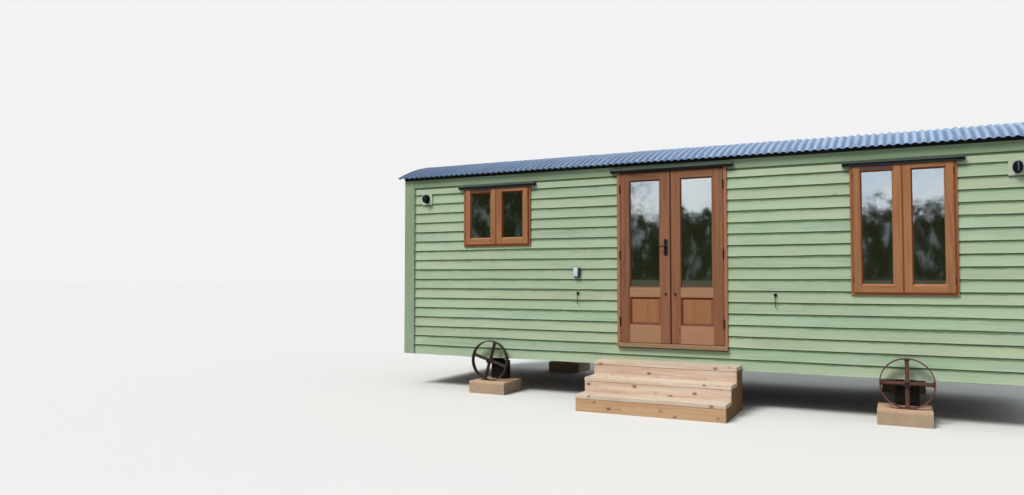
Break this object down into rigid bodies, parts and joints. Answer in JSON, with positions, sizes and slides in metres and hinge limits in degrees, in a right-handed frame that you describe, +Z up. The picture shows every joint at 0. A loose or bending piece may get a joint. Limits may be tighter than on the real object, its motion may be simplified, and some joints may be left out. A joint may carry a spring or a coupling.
{
  "type": "shepherds hut",
  "caption": "Boarded shepherds hut with a curved corrugated roof, glazed double doors, windows, cast wheels on pads and a flight of timber steps.",
  "frame": {"origin": "on the ground, at the centre of the whole footprint, pads and steps included", "axes": "+Z up, +X along the hut to the right of someone facing the doors, doors and steps face -Y"},
  "size_m": [7.35, 3.494, 3.0303],
  "materials": {
    "green_wall": "painted boards, matt sage green",
    "green_trim": "painted timber, matt sage green",
    "roof_steel": "slate blue-grey corrugated sheet, satin",
    "roof_timber": "plain boarding",
    "floor_timber": "plain boards",
    "brown_timber": "red-brown stained timber, satin",
    "pale_timber": "new pale pine with knots, sawn",
    "glass": "clear glazing",
    "dark_iron": "black lacquered iron",
    "brown_iron": "dark brown rusted casting",
    "rust_iron": "red-brown rusted casting",
    "black_steel": "black painted steel",
    "concrete": "cast concrete, rough",
    "packing_timber": "dark weathered timber packing",
    "drip_paint": "dark grey-green paint",
    "lamp_black": "black moulded housing with a pale bar",
    "box_plastic": "pale moulded plastic, dark sides"
  },
  "bodies": {
    "root": {"wheel_pads": "concrete", "support_blocks": "packing_timber", "axles": "black_steel", "axle_caps": "black_steel", "chassis_rails": "black_steel", "chassis_crossmembers": "black_steel", "floor_deck": "floor_timber", "front_wall_left": "green_wall", "front_wall_right": "green_wall", "front_wall_over_door": "green_wall", "front_wall_under_door": "green_wall", "back_wall": "green_wall", "left_end_wall": "green_wall", "right_end_wall": "green_wall", "corner_boards": "green_trim", "roof_deck": "roof_timber", "roof_sheet": "roof_steel", "door_jambs": "brown_timber", "door_head": "brown_timber", "door_sill": "brown_timber", "jamb_hinges": "dark_iron", "left_window_frame": "brown_timber", "right_window_frame": "brown_timber", "window_sashes": "brown_timber", "window_glass": "glass", "drip_caps": "drip_paint", "lamp_blocks": "green_trim", "wall_lamps": "lamp_black", "cabin_hooks": "dark_iron", "wall_box": "box_plastic", "step_treads": "pale_timber", "step_risers": "pale_timber", "step_sides": "pale_timber"},
    "left_door": {"left_door_leaf": "brown_timber", "left_door_glass": "glass", "left_door_panel": "brown_timber", "left_leaf_hinges": "dark_iron", "door_handle": "dark_iron"},
    "right_door": {"right_door_leaf": "brown_timber", "right_door_glass": "glass", "right_door_panel": "brown_timber", "right_leaf_hinges": "dark_iron"},
    "front_left_wheel": {"front_left_wheel": "brown_iron"},
    "front_right_wheel": {"front_right_wheel": "rust_iron"},
    "back_left_wheel": {"back_left_wheel": "brown_iron"},
    "back_right_wheel": {"back_right_wheel": "rust_iron"}
  },
  "joints": [
    {"name": "left_door_hinge", "type": "hinge", "parent": "root", "child": "left_door", "pos_m": [-0.5875, -0.912, 0.6723], "axis": [0, 0, -1], "range_deg": [0, 165]},
    {"name": "right_door_hinge", "type": "hinge", "parent": "root", "child": "right_door", "pos_m": [0.5875, -0.912, 0.6723], "axis": [0, 0, 1], "range_deg": [0, 165]},
    {"name": "front_left_wheel_axle", "type": "hinge", "parent": "root", "child": "front_left_wheel", "pos_m": [-2.25, -0.993, 0.3903], "axis": [0, 1, 0], "continuous": true},
    {"name": "front_right_wheel_axle", "type": "hinge", "parent": "root", "child": "front_right_wheel", "pos_m": [2.338, -0.993, 0.3903], "axis": [0, 1, 0], "continuous": true},
    {"name": "back_left_wheel_axle", "type": "hinge", "parent": "root", "child": "back_left_wheel", "pos_m": [-2.25, 1.607, 0.3903], "axis": [0, 1, 0], "continuous": true},
    {"name": "back_right_wheel_axle", "type": "hinge", "parent": "root", "child": "back_right_wheel", "pos_m": [2.338, 1.607, 0.3903], "axis": [0, 1, 0], "continuous": true}
  ]
}
